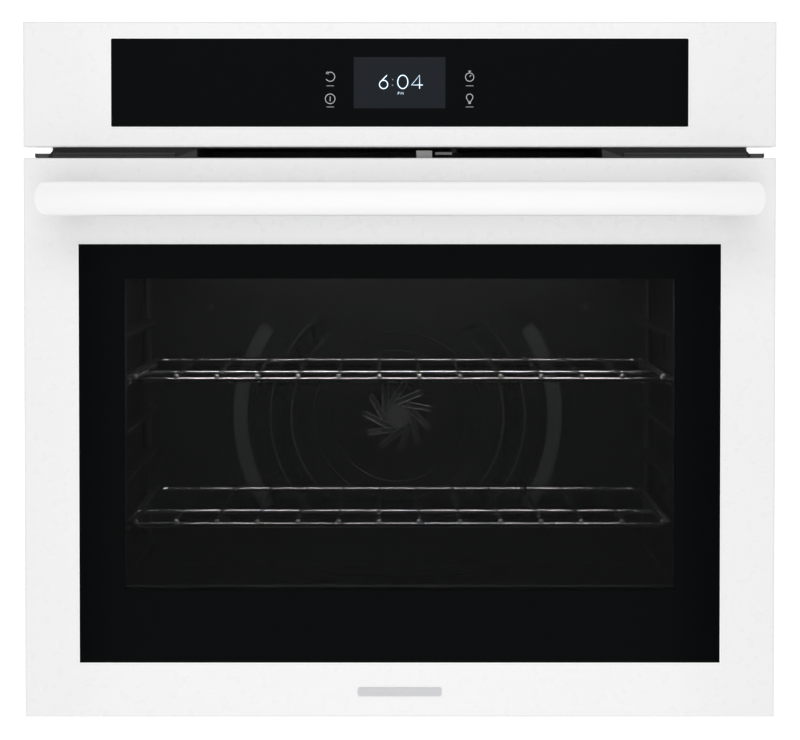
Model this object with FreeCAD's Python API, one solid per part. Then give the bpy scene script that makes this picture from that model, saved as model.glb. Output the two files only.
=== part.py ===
import FreeCAD, Part
import math
import os

# Thirty-inch built-in wall oven, all lengths in millimetres.
# +X is right seen from the front, -Y is towards the cook, +Z is up.
# Origin: middle of the width, cabinet face plane (y = 0), underside of the chassis (z = 0).

V = FreeCAD.Vector

# ---- driving dimensions ---------------------------------------------------------------
FRONT_HALF = 381.0          # half width of door and control panel
FRONT_Y = -50.0             # front plane of door and control panel
DOOR_Z = (-11.0, 557.4)
PANEL_Z = (568.6, 695.0)
SKIN = 1.2                  # painted sheet of the door and the control panel

CHASSIS_HALF = 356.0
CHASSIS_Z = (0.0, 686.0)
CHASSIS_DEPTH = 590.0
CHASSIS_SHEET = 1.0
FRAME_HALF = 373.5
FRAME_THICK = 2.0
CABINET_HOLE_X = 366.0      # screws into the cabinet stiles
CABINET_HOLE_Z = (60.0, 500.0)
CABINET_HOLE_R = 2.6

CAVITY_HALF = 302.5
CAVITY_Z = (83.0, 533.0)
CAVITY_CORNER = 35.0
CAVITY_BACK_Y = 503.5
CAVITY_SHEET = 1.5

WELL_HALF = 238.0           # fan well behind the cover
WELL_Z = (138.0, 380.0)
WELL_DEPTH = 42.0
FAN_Z = 259.0
COVER_HALF = 254.0
COVER_Z = (122.0, 396.0)

HINGE_X = 340.0
HINGE_Y = -28.0
HINGE_Z = 14.0
HINGE_PIN_R = 4.0
RUN_CLEARANCE = 0.05

WINDOW_HALF = 325.3         # black outer glass
WINDOW_Z = (44.7, 470.3)
LINER_REAR_Y = -8.0
HANDLE_HALF = 363.5
HANDLE_Z = 516.5
HANDLE_HEIGHT = 35.0
HANDLE_DEPTH = 20.0
HANDLE_CROWN = 3.0          # how far the middle of the front face bulges
HANDLE_STANDOFF = 43.0

RACK_WIRES = 14
RACK_PITCH = 42.4
RACK_LEVELS = {"upper_rack": 331.0, "lower_rack": 179.0}
RACK_FRONT_Y = 50.0
RACK_BACK_Y = 479.0
LEDGE_PITCH = 50.7

VENT_HALF = 207.0
VENT_Z = (558.6, 567.6)
LATCH_X = 56.0              # vertical pivot of the latch hook
LATCH_Y = 30.0

PARTS = {}


# ---- helpers --------------------------------------------------------------------------
def box(x, y, z):
    """Block between the low and high value of each axis."""
    corner = V(x[0], y[0], z[0])
    return Part.makeBox(x[1] - x[0], y[1] - y[0], z[1] - z[0], corner)


def rod(start, end, radius):
    """Round bar from one point to another."""
    a = V(*start)
    along = V(*end) - a
    return Part.makeCylinder(radius, along.Length, a, along)


def both_sides(shape):
    """The shape and its mirror image across x = 0."""
    return [shape, shape.mirror(V(0, 0, 0), V(1, 0, 0))]


def fuse(shapes):
    first = shapes[0]
    if len(shapes) == 1:
        return first
    return first.fuse(shapes[1:]).removeSplitter()


def cut(shape, tools):
    return shape.cut(tools)


def prism_xz(points, y):
    face = Part.Face(Part.makePolygon([V(px, y[0], pz) for px, pz in points + points[:1]]))
    return face.extrude(V(0, y[1] - y[0], 0))


def prism_yz(points, x):
    face = Part.Face(Part.makePolygon([V(x[0], py, pz) for py, pz in points + points[:1]]))
    return face.extrude(V(x[1] - x[0], 0, 0))


def prism_xy(points, z):
    face = Part.Face(Part.makePolygon([V(px, py, z[0]) for px, py in points + points[:1]]))
    return face.extrude(V(0, 0, z[1] - z[0]))


def round_edges(shape, radius, axis):
    """Fillet every straight edge that runs along the axis ('x', 'y' or 'z')."""
    direction = {"x": V(1, 0, 0), "y": V(0, 1, 0), "z": V(0, 0, 1)}[axis]
    edges = []
    for edge in shape.Edges:
        along = edge.Vertexes[-1].Point - edge.Vertexes[0].Point
        if along.Length > 1e-6 and along.cross(direction).Length < 1e-6 * along.Length:
            edges.append(edge)
    return shape.makeFillet(radius, edges)


def rounded_block(x, y, z, radius, axis="y"):
    return round_edges(box(x, y, z), radius, axis)


def ring_block(outer_x, outer_z, inner_x, inner_z, y, outer_r=0.0, inner_r=0.0):
    """Flat frame in the XZ plane with optional rounded corners."""
    outer = box((-outer_x, outer_x), y, outer_z)
    inner = box((-inner_x, inner_x), (y[0] - 1, y[1] + 1), inner_z)
    if outer_r > 0:
        outer = round_edges(outer, outer_r, "y")
    if inner_r > 0:
        inner = round_edges(inner, inner_r, "y")
    return outer.cut(inner)


def bent_rod(points, bend, radius):
    """Round bar along a path of straight runs joined by arcs of the bend radius."""
    pts = [V(*p) for p in points]
    edges = []
    start = pts[0]
    for i in range(1, len(pts) - 1):
        back = (pts[i - 1] - pts[i]).normalize()
        ahead = (pts[i + 1] - pts[i]).normalize()
        half = back.getAngle(ahead) / 2
        reach = bend / math.tan(half)
        enter = pts[i] + back * reach
        leave = pts[i] + ahead * reach
        middle_dir = (back + ahead).normalize()
        crown = pts[i] + middle_dir * (bend / math.sin(half) - bend)
        if (enter - start).Length > 1e-6:
            edges.append(Part.makeLine(start, enter))
        edges.append(Part.Arc(enter, crown, leave).toShape())
        start = leave
    edges.append(Part.makeLine(start, pts[-1]))
    path = Part.Wire(edges)
    section = Part.Wire(Part.makeCircle(radius, pts[0], pts[1] - pts[0]))
    return path.makePipeShell([section], True, True)


def pan_screw(tip, head_dir, shank_r, shank_len, head_r, head_h):
    """Screw whose head bears at the point and stands out along head_dir."""
    out = V(*head_dir)
    seat = V(*tip)
    shank = Part.makeCylinder(shank_r, shank_len, seat, out * -1)
    head = Part.makeCylinder(head_r, head_h, seat, out)
    far_edge = [e for e in head.Edges if e.Closed and (e.CenterOfMass - seat).dot(out) > head_h / 2]
    head = head.makeFillet(head_h * 0.45, far_edge)
    return fuse([shank, head])


def keep(name, solids):
    """Register one node made of one solid or of a list of separate solids."""
    PARTS[name] = solids if isinstance(solids, list) else [solids]


# ---- chassis sheets -------------------------------------------------------------------
def build_front_frame():
    frame = box((-FRAME_HALF, FRAME_HALF), (-FRAME_THICK, 0), (CHASSIS_SHEET, CHASSIS_Z[1]))
    mouth = rounded_block((-CAVITY_HALF, CAVITY_HALF), (-3, 1), CAVITY_Z, CAVITY_CORNER)
    tools = [mouth, box((-VENT_HALF, VENT_HALF), (-3, 1), VENT_Z)]
    for side in (-1, 1):
        slot_x = sorted((side * (HINGE_X - 6), side * (HINGE_X + 6)))
        tools.append(box(slot_x, (-3, 1), (4.5, 30)))
        for z in CABINET_HOLE_Z:
            tools.append(rod((side * CABINET_HOLE_X, -3, z), (side * CABINET_HOLE_X, 1, z), CABINET_HOLE_R))
    tools.append(rod((-345, -3, 500), (-345, 1, 500), 3.5))
    for x in (-150, 150):
        tools.append(rounded_block((x - 30, x + 30), (-3, 1), (605, 660), 6))
    for side in (-1, 1):
        notch = [(357.6, 562.6), (FRAME_HALF + 1, 562.6), (FRAME_HALF + 1, 570), (356.2, 570), (356.2, 564)]
        tools.append(prism_xz([(side * x, z) for x, z in notch], (-3, 1)))
    flange = both_sides(box((FRAME_HALF - 1.5, FRAME_HALF), (-9, -FRAME_THICK), (558.6, 562.6)))
    keep("front_frame", fuse([cut(frame, tools)] + flange))


def vent_rows(x_values, y, z, width, height):
    """Row of upright slots through a sheet that lies across Y."""
    return [box((x - width / 2, x + width / 2), y, (z, z + height)) for x in x_values]


def build_chassis():
    t = CHASSIS_SHEET
    inner_z = (CHASSIS_Z[0] + t, CHASSIS_Z[1] - t)
    depth = (0, CHASSIS_DEPTH)
    panels = []
    for side in (-1, 1):
        x = sorted((side * (CHASSIS_HALF - t), side * CHASSIS_HALF))
        panel = box(x, depth, inner_z)
        tools = []
        for row in range(3):
            for column in range(8):
                y = 330 + column * 24
                z = 590 + row * 22
                tools.append(box((x[0] - 1, x[1] + 1), (y, y + 14), (z, z + 5)))
        flange_x = sorted((side * (CHASSIS_HALF - 14), side * (CHASSIS_HALF - t)))
        rear_flange = box(flange_x, (CHASSIS_DEPTH - t, CHASSIS_DEPTH), (3, CHASSIS_Z[1] - 3))
        for z in (30, 150, 300, 450, 600):
            tools.append(rod((x[0] - 1, 566, z), (x[1] + 1, 566, z), 1.8))
        panels.append(fuse([cut(panel, tools), rear_flange]))
    keep("side_panels", panels)

    base = box((-CHASSIS_HALF, CHASSIS_HALF), (-FRAME_THICK, CHASSIS_DEPTH), (0, t))
    base_tools = [box((x - 3, x + 3), (120, 170), (-1, 2)) for x in range(-240, 241, 40)]
    keep("base_panel", cut(base, base_tools))

    top = box((-CHASSIS_HALF, CHASSIS_HALF), depth, (CHASSIS_Z[1] - t, CHASSIS_Z[1]))
    top_tools = []
    for row in range(3):
        for column in range(9):
            x = -200 + column * 50
            y = 430 + row * 26
            top_tools.append(box((x - 17, x + 17), (y, y + 6), (CHASSIS_Z[1] - 2, CHASSIS_Z[1] + 1)))
    keep("top_panel", cut(top, top_tools))

    rear_y = (CHASSIS_DEPTH, CHASSIS_DEPTH + t)
    rear = box((-CHASSIS_HALF, CHASSIS_HALF), rear_y, CHASSIS_Z)
    rear_tools = [rod((-300, rear_y[0] - 1, 630), (-300, rear_y[1] + 1, 630), 14.2)]
    rear_tools += vent_rows(range(-60, 301, 24), (rear_y[0] - 1, rear_y[1] + 1), 610, 8, 40)
    keep("rear_panel", cut(rear, rear_tools))

    shelf = box((-CHASSIS_HALF + t, CHASSIS_HALF - t), (0, CHASSIS_DEPTH - t), (555, 556))
    shelf_tools = [box((-120, 120), (520, 570), (554, 557))]
    keep("compartment_shelf", cut(shelf, shelf_tools))


# ---- oven cavity ----------------------------------------------------------------------
def build_cavity():
    t = CAVITY_SHEET
    depth = (0, CAVITY_BACK_Y)
    outer_z = (CAVITY_Z[0] - t, CAVITY_Z[1] + t)
    outer = rounded_block((-CAVITY_HALF - t, CAVITY_HALF + t), depth, outer_z, CAVITY_CORNER + t)
    inner = rounded_block((-CAVITY_HALF, CAVITY_HALF), (-1, depth[1] + 1), CAVITY_Z, CAVITY_CORNER)
    pad = prism_xy([(-95, 455), (-70, 385), (70, 385), (95, 455)], (CAVITY_Z[0] - 0.5, CAVITY_Z[0] + 2.0))
    pad = round_edges(pad, 14, "z")
    vent = Part.makeCylinder(16, 10, V(120, 300, CAVITY_Z[1] - 4))
    wrapper = fuse([cut(outer, [inner, vent]), pad])
    keep("cavity_wrapper", wrapper)

    back_y = (CAVITY_BACK_Y, CAVITY_BACK_Y + t)
    plate = rounded_block((-CAVITY_HALF - t, CAVITY_HALF + t), back_y, outer_z, CAVITY_CORNER + t)
    well_x = (-WELL_HALF, WELL_HALF)
    well_end = CAVITY_BACK_Y + WELL_DEPTH
    well = rounded_block((well_x[0] - t, well_x[1] + t), (CAVITY_BACK_Y, well_end + t),
                         (WELL_Z[0] - t, WELL_Z[1] + t), 20 + t)
    hollow = rounded_block(well_x, (CAVITY_BACK_Y - 1, well_end), WELL_Z, 20)
    tools = [hollow, rod((0, 480, FAN_Z), (0, 570, FAN_Z), 9)]
    for x in (-30, 30):
        tools.append(rod((x, 490, 508), (x, 520, 508), 4.4))
        tools.append(rod((x + 150, 530, FAN_Z - 100), (x + 150, 570, FAN_Z - 100), 3.4))
    tools.append(rod((200, 490, 480), (200, 520, 480), 2.9))
    tools.append(rod((-215, 490, 470), (-215, 520, 470), 24))
    keep("cavity_back", cut(fuse([plate, well]), tools))

    ledges = []
    for step in range(6):
        top_z = RACK_LEVELS["lower_rack"] - 7.0 + LEDGE_PITCH * (step - 1)
        bar = box((283, CAVITY_HALF), (30, 484), (top_z - 7, top_z))
        nose = [e for e in bar.Edges if abs(e.CenterOfMass.x - 283) < 1e-6 and abs(e.CenterOfMass.y - 257) < 1e-6]
        bar = bar.makeFillet(3.0, nose)
        ledges += both_sides(cut(bar, [wrapper]))
    keep("rack_ledges", ledges)


def build_insulation():
    around = box((-348, 348), (0, CAVITY_BACK_Y), (38, 555))
    space = rounded_block((-CAVITY_HALF - CAVITY_SHEET, CAVITY_HALF + CAVITY_SHEET), (-1, CAVITY_BACK_Y + 1),
                          (54, CAVITY_Z[1] + CAVITY_SHEET), CAVITY_CORNER + CAVITY_SHEET)
    switch_room = box((-349, -336), (-1, 40), (486, 514))
    stack = Part.makeCylinder(19, 40, V(120, 300, 530))
    wrap = cut(around, [space, switch_room, stack])

    rear = box((-348, 348), (CAVITY_BACK_Y + 2, 548), (38, 555))
    tools = [box((-WELL_HALF - 3, WELL_HALF + 3), (500, 560), (WELL_Z[0] - 3, WELL_Z[1] + 3))]
    for x in (-30, 30):
        tools.append(rod((x, 500, 508), (x, 560, 508), 6))
        tools.append(rod((x, 500, 68), (x, 560, 68), 6))
    tools.append(rod((200, 500, 480), (200, 560, 480), 8))
    tools.append(rod((-215, 500, 470), (-215, 560, 470), 31))
    keep("oven_insulation", [wrap, cut(rear, tools)])


def build_fan_cover():
    y = (CAVITY_BACK_Y - 1.5, CAVITY_BACK_Y)
    plate = rounded_block((-COVER_HALF, COVER_HALF), y, COVER_Z, 24)
    rings = []
    for radius in (77.7, 99.6):
        ridge = Part.makeTorus(radius, 1.6, V(0, y[0] + 0.3, FAN_Z), V(0, 1, 0))
        rings.append(ridge)
    collar = Part.makeCylinder(54.6, 3, V(0, y[0] - 3, FAN_Z), V(0, 1, 0))
    dish = Part.makeCylinder(41.5, 3, V(0, y[0] - 3, FAN_Z), V(0, 1, 0))
    rings.append(collar.cut(dish))
    tools = []
    for k in range(11):
        angle = math.radians(90 - k * 360 / 11)
        root = (16.6 * math.cos(angle), 16.6 * math.sin(angle))
        lean = angle - math.radians(44)
        tip = (38.5 * math.cos(lean), 38.5 * math.sin(lean))
        run = V(tip[0] - root[0], 0, tip[1] - root[1])
        slot = box((0, run.Length), (-6, 6), (-2.1, 2.1))
        slot.rotate(V(0, 0, 0), V(0, 1, 0), -math.degrees(math.atan2(run.z, run.x)))
        slot.translate(V(root[0], y[0], FAN_Z + root[1]))
        tools.append(slot)
    for radius, low_angle, step, length in ((138.0, -50, 5.9, 23), (186.0, -34, 4.35, 15)):
        count = int(round(-2 * low_angle / step)) + 1
        for k in range(count):
            for face in (0, 180):
                angle = low_angle + k * step
                slot = box((-length / 2, length / 2), (-6, 6), (-1.9, 1.9))
                slot.rotate(V(0, 0, 0), V(0, 1, 0), 35)
                slot.translate(V(radius, y[0], 0))
                slot.rotate(V(0, 0, 0), V(0, 1, 0), -(angle + face))
                slot.translate(V(0, 0, FAN_Z))
                tools.append(slot)
    cover_screws = []
    for x in (-222, 222):
        for z in (COVER_Z[1] - 8, COVER_Z[0] + 8):
            centre_x = x if z > FAN_Z else x * 1.02
            tools.append(rod((centre_x, 490, z), (centre_x, 510, z), 2.2))
            cover_screws.append(pan_screw((centre_x, y[0], z), (0, -1, 0), 2.2, 1.5, 4.2, 2.4))
    keep("fan_cover", cut(fuse([plate] + rings), tools))
    keep("chassis_screws", cover_screws)


def build_convection_fan():
    back = Part.makeCylinder(66, 1.5, V(0, 534, FAN_Z), V(0, 1, 0))
    hub = Part.makeCylinder(11, 14, V(0, 521, FAN_Z), V(0, 1, 0))
    blades = []
    for k in range(12):
        blade = box((26, 64), (512, 535), (-0.7, 0.7))
        blade.rotate(V(45, 0, 0), V(0, 1, 0), 22)
        blade.rotate(V(0, 0, 0), V(0, 1, 0), k * 30)
        blade.translate(V(0, 0, FAN_Z))
        blades.append(blade)
    keep("fan_impeller", fuse([back, hub] + blades).cut(rod((0, 500, FAN_Z), (0, 540, FAN_Z), 4)))
    shaft = rod((0, 512, FAN_Z), (0, 583, FAN_Z), 4)
    nut = Part.makeCylinder(8, 6, V(0, 515, FAN_Z), V(0, 1, 0))
    keep("fan_shaft", fuse([shaft, nut]))

    bore = rod((0, 540, FAN_Z), (0, 589, FAN_Z), 4 + RUN_CLEARANCE)
    stator = rounded_block((-38, 38), (556, 582), (FAN_Z - 38, FAN_Z + 38), 10)
    plate = rounded_block((-60, 60), (CAVITY_BACK_Y + WELL_DEPTH + CAVITY_SHEET, 549), (FAN_Z - 34, FAN_Z + 34), 8)
    posts = [rod((x, 549, FAN_Z), (x, 556, FAN_Z), 5) for x in (-30, 30)]
    collar = rod((0, 549, FAN_Z), (0, 556, FAN_Z), 12)
    coil = rounded_block((-24, 24), (552, 588), (FAN_Z - 66, FAN_Z - 30), 8)
    keep("fan_motor", cut(fuse([stator, plate, coil, collar] + posts), [bore]))


def build_elements():
    ceiling = 508.0
    path = [(-30, 575, ceiling), (-30, 470, ceiling), (-235, 470, ceiling), (-235, 70, ceiling),
            (-140, 70, ceiling), (-140, 400, ceiling), (-47, 400, ceiling), (-47, 70, ceiling),
            (47, 70, ceiling), (47, 400, ceiling), (140, 400, ceiling), (140, 70, ceiling),
            (235, 70, ceiling), (235, 470, ceiling), (30, 470, ceiling), (30, 575, ceiling)]
    keep("broil_element", bent_rod(path, 22, 3.9))
    floor = 68.0
    path = [(-30, 575, floor), (-30, 440, floor), (-220, 440, floor), (-220, 80, floor),
            (-75, 80, floor), (-75, 360, floor), (75, 360, floor), (75, 80, floor),
            (220, 80, floor), (220, 440, floor), (30, 440, floor), (30, 575, floor)]
    keep("bake_element", bent_rod(path, 24, 3.9))
    ring_y = 522.0
    ring = Part.makeTorus(96, 3.3, V(0, ring_y, FAN_Z), V(0, 1, 0))
    wedge = box((60, 140), (510, 534), (FAN_Z - 60, FAN_Z - 30))
    leg_low = bent_rod([(120, 566, FAN_Z - 100), (120, ring_y, FAN_Z - 100), (74, ring_y, FAN_Z - 62)], 9, 3.2)
    leg_high = bent_rod([(180, 566, FAN_Z - 100), (180, ring_y, FAN_Z - 100), (180, ring_y, FAN_Z - 24),
                         (90, ring_y, FAN_Z - 24)], 12, 3.2)
    keep("convection_element", fuse([ring.cut(wedge), leg_low, leg_high]))

    probe = fuse([rod((200, 420, 480), (200, 560, 480), 2.7),
                  Part.makeCylinder(9, 1.5, V(200, CAVITY_BACK_Y - 1.5, 480), V(0, 1, 0))])
    keep("temperature_sensor", probe)

    clips = []
    for x in (-187, 0, 187):
        for y in (150, 330):
            clips.append(fuse([box((x - 4, x + 4), (y - 1, y + 1), (ceiling + 4, CAVITY_Z[1])),
                               box((x - 60, x + 60), (y - 1, y + 1), (ceiling + 4, ceiling + 12))]))
    keep("element_clips", clips)


def build_lamp():
    x, z = -215, 470
    socket_y = CAVITY_BACK_Y + CAVITY_SHEET
    can = Part.makeCylinder(29, 50, V(x, socket_y, z), V(0, 1, 0))
    can = can.cut(Part.makeCylinder(24, 47, V(x, socket_y - 1, z), V(0, 1, 0)))
    keep("lamp_housing", can)
    bulb = fuse([Part.makeSphere(12, V(x, 524, z)), rod((x, 524, z), (x, 551, z), 6)])
    keep("lamp_bulb", bulb)
    lens = Part.makeCylinder(31, 6, V(x, CAVITY_BACK_Y - 6, z), V(0, 1, 0))
    front = [e for e in lens.Edges if e.Closed and e.CenterOfMass.y < CAVITY_BACK_Y - 5]
    lens = lens.makeFillet(4, front)
    keep("lamp_lens", lens.cut(Part.makeCylinder(22, 5, V(x, CAVITY_BACK_Y - 3, z), V(0, 1, 0))))


# ---- cooling air path, latch and switch -----------------------------------------------
def build_cooling():
    floor_z = 556.0
    outer = box((-VENT_HALF - 1, VENT_HALF + 1), (0, 300), (floor_z, 570))
    hollow = box((-VENT_HALF, VENT_HALF), (-1, 299), (floor_z + 1, 569))
    throat = box((-118, 118), (212, 258), (568, 571))
    post = rod((LATCH_X, LATCH_Y, 550), (LATCH_X, LATCH_Y, 575), 4.6)
    keep("air_duct", cut(outer, [hollow, throat, post]))

    points = [(200, 570), (200, 600)]
    for k in range(0, 13):
        angle = math.radians(180 - k * 18)
        radius = 36 + k * 0.9
        points.append((236 + radius * math.cos(angle), 612 + radius * math.sin(angle)))
    points.append((270, 590))
    points.append((270, 570))
    shell = prism_yz(points, (-124, 124))
    core = Part.makeCylinder(33.5, 246, V(-123, 236, 612), V(1, 0, 0))
    channel = box((-118, 118), (212, 258), (569, 612))
    intake = Part.makeCylinder(20, 300, V(-150, 236, 612), V(1, 0, 0))
    slots = [box((x - 9, x + 9), (225, 247), (630, 680)) for x in range(-104, 105, 26)]
    end_bracket = box((-132, -124), (216, 256), (570, 630))
    end_bore = rod((-140, 236, 612), (-122, 236, 612), 3 + RUN_CLEARANCE)
    core_shell = cut(shell, [core, channel, intake] + slots)
    keep("blower_housing", fuse([core_shell, cut(end_bracket, [end_bore])]))

    discs = [Part.makeCylinder(27, 2, V(x, 236, 612), V(1, 0, 0)) for x in (-112, -1, 110)]
    blades = []
    for k in range(18):
        blade = box((-111, 111), (-0.6, 0.6), (20.5, 27.0))
        blade.rotate(V(0, 0, 24), V(1, 0, 0), 28)
        blade.rotate(V(0, 0, 0), V(1, 0, 0), k * 20)
        blade.translate(V(0, 236, 612))
        blades.append(blade)
    spindle = rod((-128, 236, 612), (176, 236, 612), 3)
    keep("blower_wheel", fuse(discs + blades + [spindle]))

    frame = rounded_block((140, 166), (206, 266), (582, 642), 8, "x")
    coil = rounded_block((144, 174), (214, 258), (642, 668), 6, "x")
    foot = box((126, 140), (206, 266), (582, 584.5))
    stand = box((140, 166), (216, 256), (570, 582))
    bore = rod((120, 236, 612), (180, 236, 612), 3 + RUN_CLEARANCE)
    keep("blower_motor", cut(fuse([frame, coil, foot, stand]), [bore]))


def build_latch():
    hook_points = [(36, -44), (53, -44), (53, -4), (65, 24), (65, 36), (56, 42), (47, 36), (47, 22),
                   (45, -4), (45, -38), (36, -38)]
    hook = prism_xy(hook_points, (560.8, 563.4))
    pivot = rod((LATCH_X, LATCH_Y, 558), (LATCH_X, LATCH_Y, 586), 4.55)
    keep("latch_hook", fuse([hook, pivot]))
    body = rounded_block((LATCH_X - 26, LATCH_X + 26), (8, 60), (574, 606), 8, "z")
    foot = box((LATCH_X - 38, LATCH_X + 38), (6, 62), (570, 574))
    bore = rod((LATCH_X, LATCH_Y, 560), (LATCH_X, LATCH_Y, 590), 4.6)
    keep("latch_motor", cut(fuse([body, foot]), [bore]))
    keeper = fuse([box((17, 33), (-32, -30), (DOOR_Z[1], 565.2)), box((17, 33), (-30, -20), (DOOR_Z[1], 558.2))])
    keep("latch_keeper", keeper)

    plunger = fuse([rod((-345, -7.7, 500), (-345, 18, 500), 3.0), rod((-345, 8, 500), (-345, 12, 500), 4.6)])
    keep("door_switch_plunger", plunger)
    case = rounded_block((-352, -337), (1, 36), (488, 512), 2, "y")
    room = [rod((-345, 0, 500), (-345, 6, 500), 3.05), rod((-345, 2.5, 500), (-345, 30, 500), 5.0)]
    keep("door_switch", cut(case, room))


# ---- control panel and vent -----------------------------------------------------------
def build_vent_trim():
    outline = [(-360, 558.0), (360, 558.0), (360, 560.5), (352.6, 568.6), (-352.6, 568.6), (-360, 560.5)]
    trim = prism_xz(outline, (-8, -FRAME_THICK))
    keep("vent_trim", cut(trim, [box((-VENT_HALF, VENT_HALF), (-10, 0), VENT_Z)]))
    bars = []
    for lift in (558.6, 561.4):
        bars += both_sides(box((230, 355), (-13, -8), (lift, lift + 2.0)))
    wedge = prism_xz([(207.5, 558.6), (229.5, 558.6), (207.5, 567.0)], (-12, -8))
    keep("vent_bars", bars + both_sides(wedge))


def build_control_panel():
    z0, z1 = PANEL_Z
    skin = box((-FRONT_HALF, FRONT_HALF), (FRONT_Y, -FRAME_THICK), (z0, z1))
    skin = skin.makeFillet(2.2, [e for e in skin.Edges if abs(e.CenterOfMass.y - FRONT_Y) < 1e-6])
    room = box((-FRONT_HALF + SKIN, FRONT_HALF - SKIN), (FRONT_Y + SKIN, 0), (z0 + SKIN, z1 - SKIN))
    lip = rounded_block((-300, 300), (FRONT_Y + SKIN, -47.2), (582, 685), 2)
    seat = rounded_block((-288, 288), (-60, -40), (593, 674), 2.4)
    skin = fuse([cut(skin, [room]), lip])
    pocket = rounded_block((-292.2, 292.2), (-60, -47.6), (588.6, 678.4), 2.4)
    keep("control_panel_trim", cut(skin, [pocket, seat]))
    keep("control_glass", rounded_block((-291.8, 291.8), (-50.4, -47.6), (589, 678), 2))

    tray = rounded_block((-306, 306), (-47.2, -18), (578, 689), 3)
    hollow = box((-303.5, 303.5), (-50, -20.5), (580.5, 686.5))
    keep("control_tray", cut(tray, [hollow]))
    case = rounded_block((-49, 49), (-47.4, -38), (606, 661), 2)
    pins = [box((x, x + 1), (-38, -36), (612, 655)) for x in range(-36, 37, 12)]
    keep("display_module", fuse([case] + pins))
    board = box((-150, 150), (-30, -28.4), (600, 668))
    chips = [box((-120, -96), (-28.4, -25), (625, 649)), box((40, 60), (-28.4, -25.5), (630, 650)),
             box((90, 130), (-28.4, -22), (612, 622))]
    posts = []
    for x in (-140, 140):
        for z in (606, 662):
            posts.append(rod((x, -28.4, z), (x, -20.5, z), 3))
    keep("control_board", fuse([board] + chips + posts))


def build_electrics():
    board = box((-330, -170), (330, 460), (566, 567.6))
    bits = [box((-320, -300), (340, 368), (567.6, 585)), box((-290, -270), (340, 368), (567.6, 585)),
            box((-260, -240), (340, 368), (567.6, 585)), box((-320, -280), (400, 440), (567.6, 600)),
            box((-230, -180), (440, 452), (567.6, 580))]
    bits += [Part.makeCylinder(7, 22, V(x, 415, 567.6)) for x in (-255, -235, -215)]
    feet = []
    for x in (-325, -175):
        for y in (335, 455):
            feet.append(Part.makeCylinder(3, 10, V(x, y, 556)))
    keep("relay_board", fuse([board] + bits + feet))
    shell = box((-352, -250), (490, CHASSIS_DEPTH - 1), (570, 684))
    hollow = box((-350.8, -251.2), (491.2, CHASSIS_DEPTH), (571.2, 682.8))
    opening = box((-300, -262), (485, 495), (590, 600))
    keep("junction_box", cut(shell, [hollow, opening]))
    block = box((-330, -280), (520, 545), (571.2, 584))
    studs = [Part.makeCylinder(3, 10, V(x, 532, 584)) for x in (-322, -305, -288)]
    keep("terminal_block", fuse([block] + studs))


# ---- door -----------------------------------------------------------------------------
def build_door_skin():
    z0, z1 = DOOR_Z
    skin = box((-FRONT_HALF, FRONT_HALF), (FRONT_Y, -12), (z0, z1))
    skin = skin.makeFillet(2.2, [e for e in skin.Edges if abs(e.CenterOfMass.y - FRONT_Y) < 1e-6])
    room = box((-FRONT_HALF + SKIN, FRONT_HALF - SKIN), (FRONT_Y + SKIN, 0), (z0 + SKIN, z1 - SKIN))
    relief = prism_yz([(-24, z0 - 1), (0, z0 - 1), (0, 16), (-12, 16)], (-400, 400))
    lip = ring_block(WINDOW_HALF + 14, (WINDOW_Z[0] - 14, WINDOW_Z[1] + 14), WINDOW_HALF - 8,
                     (WINDOW_Z[0] + 8, WINDOW_Z[1] - 8), (FRONT_Y + SKIN, -45.6))
    pocket = box((-WINDOW_HALF - 0.4, WINDOW_HALF + 0.4), (-60, -46.6), (WINDOW_Z[0] - 0.4, WINDOW_Z[1] + 0.4))
    through = box((-WINDOW_HALF + 8, WINDOW_HALF - 8), (-60, -40), (WINDOW_Z[0] + 8, WINDOW_Z[1] - 8))
    tools = [pocket, through]
    for x in range(-300, 301, 60):
        if abs(x) > 40:
            tools.append(box((x - 21, x + 21), (-44, -39), (z1 - 3, z1 + 1)))
        tools.append(box((x - 21, x + 21), (-44, -39), (z0 - 1, z0 + 3)))
    for side in (-1, 1):
        slot_x = sorted((side * (HINGE_X - 7), side * (HINGE_X + 7)))
        tools.append(box(slot_x, (-38, -10), (z0 - 1, z0 + 3)))
        for dz in (-9, 9):
            tools.append(rod((side * 330, -60, HANDLE_Z + dz), (side * 330, -40, HANDLE_Z + dz), 2.4))
    shell = cut(skin, [room, relief])
    keep("door_outer_panel", cut(fuse([shell, lip]), tools))

    glass = box((-WINDOW_HALF, WINDOW_HALF), (-50.5, -46.6), WINDOW_Z)
    glass = glass.makeFillet(0.8, [e for e in glass.Edges if abs(e.CenterOfMass.y + 50.5) < 1e-6])
    keep("door_outer_glass", glass)
    badge = rounded_block((-42.6, 42.6), (-50.7, FRONT_Y), (10.5, 19.1), 2)
    keep("blank_badge", badge)


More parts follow.
